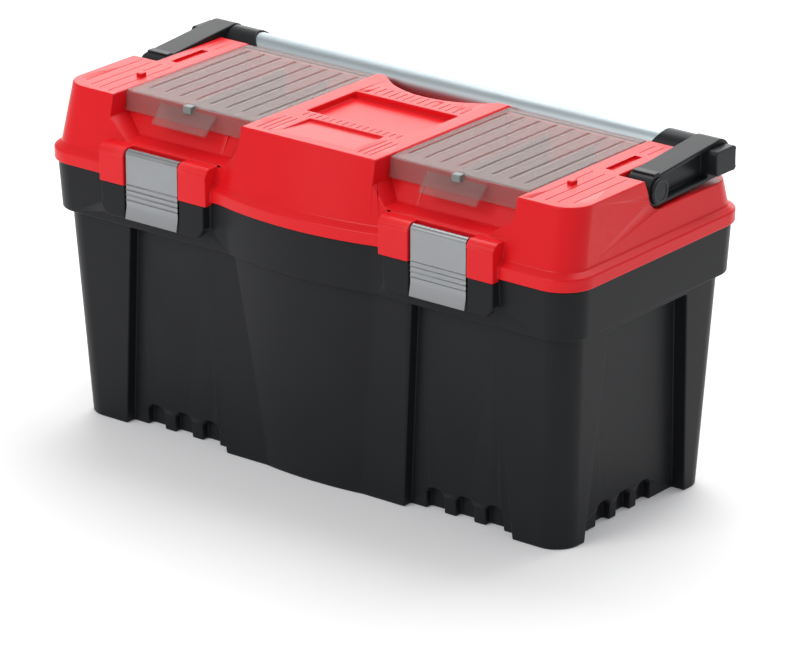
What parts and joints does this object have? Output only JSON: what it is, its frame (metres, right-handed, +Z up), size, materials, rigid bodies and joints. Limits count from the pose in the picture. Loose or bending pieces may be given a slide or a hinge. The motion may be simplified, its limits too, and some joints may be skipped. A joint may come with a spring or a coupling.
{
  "type": "toolbox with tray",
  "caption": "Large plastic toolbox with a hinged lid, clear-lidded organizer bins, front latches, fold-down grip tube and lift-out tray.",
  "frame": {"origin": "on the floor, under the centre of the whole object's box", "axes": "+X along the length, -Y towards the latch side, +Z up"},
  "size_m": [0.597, 0.287, 0.3247],
  "materials": {
    "black_polymer": "moulded polypropylene, fine satin",
    "red_polymer": "moulded polypropylene, satin gloss",
    "smoky_clear": "smoky clear polycarbonate, polished",
    "latch_metal": "satin, rolled edge",
    "pin_steel": "drawn wire",
    "grip_aluminium": "satin anodised tube",
    "handle_polymer": "moulded, satin",
    "grey_polymer": "moulded, satin",
    "tray_polymer": "moulded, satin"
  },
  "bodies": {
    "base": {"base_tub": "black_polymer", "hinge_pin_left": "pin_steel", "hinge_pin_right": "pin_steel"},
    "lid": {"lid_shell": "red_polymer", "bin_divider_left_1": "tray_polymer", "bin_divider_left_2": "tray_polymer", "handle_pivot_left": "handle_polymer", "latch_pin_left": "pin_steel", "organizer_pin_left": "pin_steel", "bin_divider_right_1": "tray_polymer", "bin_divider_right_2": "tray_polymer", "handle_pivot_right": "handle_polymer", "latch_pin_right": "pin_steel", "organizer_pin_right": "pin_steel"},
    "handle": {"grip_tube": "grip_aluminium", "handle_arm_left": "handle_polymer", "handle_collar_left": "handle_polymer", "handle_end_cap_left": "handle_polymer", "handle_arm_right": "handle_polymer", "handle_collar_right": "handle_polymer", "handle_end_cap_right": "handle_polymer"},
    "organizer_left": {"organizer_lid_left": "smoky_clear", "lid_catch_left": "grey_polymer"},
    "organizer_right": {"organizer_lid_right": "smoky_clear", "lid_catch_right": "grey_polymer"},
    "latch_left": {"latch_plate_left": "latch_metal"},
    "latch_right": {"latch_plate_right": "latch_metal"},
    "tray": {"tray_tub": "tray_polymer", "tray_grip": "tray_polymer", "tray_divider_1": "tray_polymer", "tray_divider_2": "tray_polymer"}
  },
  "joints": [
    {"name": "lid_open", "type": "hinge", "parent": "base", "child": "lid", "pos_m": [0, 0.138, 0.247], "axis": [-1, 0, 0], "range_deg": [0, 95]},
    {"name": "handle_lift", "type": "hinge", "parent": "lid", "child": "handle", "pos_m": [0, 0.008, 0.3025], "axis": [1, 0, 0], "range_deg": [0, 92]},
    {"name": "organizer_left_open", "type": "hinge", "parent": "lid", "child": "organizer_left", "pos_m": [-0.15075, 0.0751, 0.3148], "axis": [-1, 0, 0], "range_deg": [0, 100]},
    {"name": "latch_left_open", "type": "hinge", "parent": "lid", "child": "latch_left", "pos_m": [-0.161, -0.1324, 0.2738], "axis": [-1, 0, 0], "range_deg": [0, 110]},
    {"name": "organizer_right_open", "type": "hinge", "parent": "lid", "child": "organizer_right", "pos_m": [0.15075, 0.0751, 0.3148], "axis": [-1, 0, 0], "range_deg": [0, 100]},
    {"name": "latch_right_open", "type": "hinge", "parent": "lid", "child": "latch_right", "pos_m": [0.161, -0.1324, 0.2738], "axis": [-1, 0, 0], "range_deg": [0, 110]},
    {"name": "tray_lift", "type": "slide", "parent": "base", "child": "tray", "axis": [0, 0, 1], "range_m": [0, 0.1602]}
  ],
  "couplings": [
    {"joint": "tray_lift", "follows": "lid_open", "m_per_rad": 0.0965}
  ]
}
